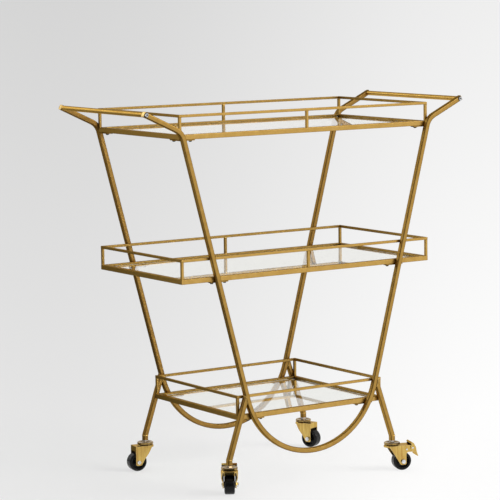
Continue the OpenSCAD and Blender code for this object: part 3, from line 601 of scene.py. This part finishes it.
dark_steel = coated_metal(
    "blackened_steel",
    coat=(0.055, 0.052, 0.048), cloudy=(0.040, 0.038, 0.036), rubbed_and_shaded=(0.25, 0.24, 0.22),
    patina_and_shade=(0.01, 0.01, 0.01), gloss=(0.30, 0.42), blotch_size=0.006, peel_size=0.0005,
    peel_height=0.00001, corner_reach=0.002, edge_share=0.7)
finish_nodes(dark_steel, *[f"{tier}_tray_bolts" for tier in ("top", "middle", "bottom")])


# ---- Gallery weld beads ----------------------------------------------------
# Small beads join the gallery posts to the rails under them and to the bars above them, on the
# inner sides of the posts. They are lacquered with the trays, and painted lighter as painted
# highlight for their glints.
post_half = 0.00325
seam_bead = 0.00045
seams = bmesh.new()
for tier in ("top", "middle", "bottom"):
    rail_low, rail_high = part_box(f"{tier}_tray_rails")
    bar_low, bar_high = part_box(f"{tier}_gallery_bars")
    reach_x, reach_y = rail_high[0] - post_half, rail_high[1] - post_half
    for side_y in (-1, 1):
        inner, outer = side_y * (reach_y - post_half), side_y * (reach_y + post_half)
        for z in (rail_high[2], bar_low[2]):
            for side_x in (-1, 1):
                near, far = side_x * (reach_x - post_half), side_x * (reach_x + post_half)
                corner = [(far, inner, z), (near, inner, z), (near, outer, z)]
                weld_run(seams, corner, seam_bead)
            if tier != "bottom":
                weld_run(seams, [(post_half, outer, z), (post_half, inner, z),
                                 (-post_half, inner, z), (-post_half, outer, z)], seam_bead)
place_piece("gallery_weld_beads", seams, weld_glint_gold, "cart")


# ---- Glass panels ----------------------------------------------------------
# Clear float glass with ground edges, laid loose on soft clear pads inside each rail. Rays
# from the lamps pass through it, so that its shadow stays pale.
tray_glass, tree = new_material("clear_float_glass")
place = put(tree, "ShaderNodeTexCoord").outputs["Object"]
waves = put(tree, "ShaderNodeTexNoise", {"Vector": place, "Scale": 9.0, "Detail": 1.0})
film = put(tree, "ShaderNodeTexNoise", {
    "Vector": place, "Scale": 55.0, "Detail": 6.0, "Roughness": 0.6})
film_rough = put(tree, "ShaderNodeMapRange", {
    "Value": film.outputs["Fac"], "From Min": 0.45, "From Max": 0.75,
    "To Min": 0.0, "To Max": 0.035}).outputs[0]
ripple = put(tree, "ShaderNodeBump", {"Height": waves.outputs["Fac"], "Distance": 0.00003})
pane = put(tree, "ShaderNodeBsdfPrincipled", {
    "Base Color": (0.965, 0.980, 0.945, 1), "Roughness": film_rough, "IOR": 1.5,
    "Transmission Weight": 1.0, "Normal": ripple.outputs[0]})
clear = put(tree, "ShaderNodeBsdfTransparent", {"Color": (0.93, 0.95, 0.94, 1)})
path = put(tree, "ShaderNodeLightPath")
let_through = put(tree, "ShaderNodeMixShader", {
    0: path.outputs["Is Shadow Ray"], 1: pane.outputs[0], 2: clear.outputs[0]})
put(tree, "ShaderNodeOutputMaterial", {"Surface": let_through.outputs[0]})
finish_nodes(tray_glass, "top_glass", "middle_glass", "bottom_glass")

pad_rubber, tree = new_material("soft_clear_pad")
place = put(tree, "ShaderNodeTexCoord").outputs["Object"]
grain = put(tree, "ShaderNodeTexNoise", {"Vector": place, "Scale": 700.0, "Detail": 3.0})
tone = mix_colour(tree, grain.outputs["Fac"], (0.62, 0.62, 0.58, 1), (0.74, 0.74, 0.70, 1))
grain_rough = put(tree, "ShaderNodeMapRange", {
    "Value": grain.outputs["Fac"], "To Min": 0.35, "To Max": 0.55}).outputs[0]
grain_bump = put(tree, "ShaderNodeBump", {"Height": grain.outputs["Fac"], "Distance": 0.00004})
body = put(tree, "ShaderNodeBsdfPrincipled", {
    "Base Color": tone, "Roughness": grain_rough, "Normal": grain_bump.outputs[0]})
put(tree, "ShaderNodeOutputMaterial", {"Surface": body.outputs[0]})
finish_nodes(pad_rubber, *[f"{tier}_glass_pads" for tier in ("top", "middle", "bottom")])


# ---- Casters ---------------------------------------------------------------
# Stamped steel forks in glossy yellow zinc turn on threaded stems under browner ball cups, whose
# darker streaks are painted reflection. The wheels are moulded in hard black plastic and run on
# zinc plated axle bolts.
casters = ("front_left", "front_right", "rear_left", "rear_right")
yellow_zinc = coated_metal(
    "yellow_zinc_plating",
    coat=(0.70, 0.50, 0.15), cloudy=(0.52, 0.31, 0.075), rubbed_and_shaded=(0.95, 0.80, 0.46),
    patina_and_shade=(0.03, 0.015, 0.004), gloss=(0.09, 0.18), blotch_size=0.006, peel_size=0.0009,
    peel_height=0.00003, corner_reach=0.010, stretch=0.12, grazing=(0.75, 0.62, 0.42))
finish_nodes(yellow_zinc, *[f"{place}_fork" for place in casters],
             "front_left_brake_pedal", "front_right_brake_pedal")
# The cups' dark streaky blotches are painted reflection on a browner zinc.
brown_zinc_with_painted_reflection = coated_metal(
    "cup_zinc_with_painted_reflection",
    coat=(0.46, 0.30, 0.085), cloudy=(0.13, 0.065, 0.018), rubbed_and_shaded=(0.92, 0.76, 0.42),
    patina_and_shade=(0.03, 0.015, 0.004), gloss=(0.10, 0.20), blotch_size=0.009, peel_size=0.0009,
    peel_height=0.00003, corner_reach=0.006, stretch=0.5)
finish_nodes(brown_zinc_with_painted_reflection, "caster_cups")
finish_nodes(zinc_steel, "caster_stems", "caster_nuts", "caster_balls",
             *[f"{place}_axle" for place in casters],
             "front_left_brake_pins", "front_right_brake_pins")
finish_nodes(dark_steel, "front_left_brake_leaf", "front_right_brake_leaf")

black_plastic, tree = new_material("black_wheel_plastic")
place = put(tree, "ShaderNodeTexCoord").outputs["Object"]
scuffs = put(tree, "ShaderNodeTexNoise", {
    "Vector": place, "Scale": 260.0, "Detail": 6.0, "Roughness": 0.65})
grit = put(tree, "ShaderNodeTexNoise", {"Vector": place, "Scale": 1600.0, "Detail": 2.0})
wear_and_shade = use_group(tree, age_and_shade, {"Edge Width": 0.0008, "Corner Reach": 0.004})
tone = mix_colour(
    tree, scuffs.outputs["Fac"], (0.003, 0.003, 0.003, 1), (0.007, 0.007, 0.007, 1))
edge = math_node(tree, "MULTIPLY", wear_and_shade.outputs["Rubbed And Shaded"], 0.3)
tone = mix_colour(tree, edge, tone, (0.02, 0.02, 0.02, 1))
rough = put(tree, "ShaderNodeMapRange", {
    "Value": scuffs.outputs["Fac"], "From Min": 0.3, "From Max": 0.7,
    "To Min": 0.16, "To Max": 0.32}).outputs[0]
bump = put(tree, "ShaderNodeBump", {"Height": grit.outputs["Fac"], "Distance": 0.00002})
body = put(tree, "ShaderNodeBsdfPrincipled", {
    "Base Color": tone, "Roughness": rough, "Specular IOR Level": 0.22, "Normal": bump.outputs[0]})
put(tree, "ShaderNodeOutputMaterial", {"Surface": body.outputs[0]})
finish_nodes(black_plastic, *[f"{place}_wheel" for place in casters])

for place in casters:
    for part in ("fork", "brake_pedal", "wheel"):
        if f"{place}_{part}" in cad:
            softened = cad[f"{place}_{part}"].modifiers.new("softened_edges", "BEVEL")
            softened.width = 0.00035
            softened.segments = 2
            softened.limit_method = "ANGLE"
            softened.angle_limit = math.radians(40)


# ---- Wheel rings -----------------------------------------------------------
# Two low rings are moulded on each side of every black wheel, one near the tread and one round
# the hub, so they turn with the wheel.
joints = {joint["name"]: joint for joint in frame["record"]["behaviour"]["joints"]}
ring_half, ring_top_half, ring_root = 0.0006, 0.0003, 0.0001
wheel_ring_sizes = ((0.0183, 0.0125, 0.00035), (0.0128, 0.0045, 0.0005))  # radius, face, height


def add_wheel_rings(place):
    """The moulded rings of one caster's wheel."""
    roll = joints[f"{place}_roll"]
    rings = bmesh.new()
    for side in (-1, 1):
        for radius, face, height in wheel_ring_sizes:
            turn_ring(rings, [
                (radius - ring_half, face - ring_root), (radius - ring_top_half, face + height),
                (radius + ring_top_half, face + height), (radius + ring_half, face - ring_root)],
                roll["pos_m"], [side * part for part in roll["axis"]], steps=96)
    place_piece(f"{place}_wheel_rings", rings, black_plastic, f"{place}_rolling_wheel")


# ---- Painted shade inside the fork cheeks ----------------------------------
# Thin strips of the same black plastic stand inside the flared cheeks of each fork, just behind
# their slanted front edges, as painted shade for the dark inside of the cheeks.
shade_strip_top, shade_strip_drop, shade_strip_steps = 0.0610, 0.0270, 12
shade_strip_inner, shade_strip_least, shade_strip_thick = 0.0138, 0.0141, 0.0016
edge_top_z, edge_top_x, edge_slope = 0.0625, -0.0092, 0.66
flare_z, flare_r, upper_flare, lower_flare = 0.044, 0.0186, 0.04, 0.21


def shade_strip_outer(z, edge_x):
    """How far a shade strip reaches sideways at a height: up to the inside of the flared cheek."""
    slope = upper_flare if z > flare_z else lower_flare
    flare = flare_r + (z - flare_z) * slope
    outer = math.sqrt(flare ** 2 - edge_x ** 2) if flare > abs(edge_x) else shade_strip_least
    return max(outer, shade_strip_least)


def add_cheek_shade_strips(place):
    """The two painted shade strips inside one caster's fork."""
    roll = joints[f"{place}_roll"]
    stem = Vector(joints[f"{place}_swivel"]["pos_m"])
    ahead = Vector(roll["pos_m"]) - stem
    ahead = Vector((ahead.x, ahead.y, 0)).normalized()
    across = Vector(roll["axis"])
    shade_strips = bmesh.new()
    for side in (-1, 1):
        levels = []
        for step in range(shade_strip_steps + 1):
            z = shade_strip_top - shade_strip_drop * step / shade_strip_steps
            front = edge_top_x + (edge_top_z - z) * edge_slope
            outer = shade_strip_outer(z, front)
            levels.append([shade_strips.verts.new(
                Vector((stem.x, stem.y, z)) + ahead * x + across * side * y)
                for x, y in ((front, shade_strip_inner), (front, outer), (front + shade_strip_thick, outer),
                             (front + shade_strip_thick, shade_strip_inner))])
        for above, below in zip(levels, levels[1:]):
            for j in range(4):
                shade_strips.faces.new((above[j], above[(j + 1) % 4], below[(j + 1) % 4], below[j]))
        shade_strips.faces.new(levels[0])
        shade_strips.faces.new(levels[-1][::-1])
    place_piece(f"{place}_cheek_shade_strips", shade_strips, black_plastic, f"{place}_swivel_fork",
                smooth=False)


for place in casters:
    add_wheel_rings(place)
    add_cheek_shade_strips(place)
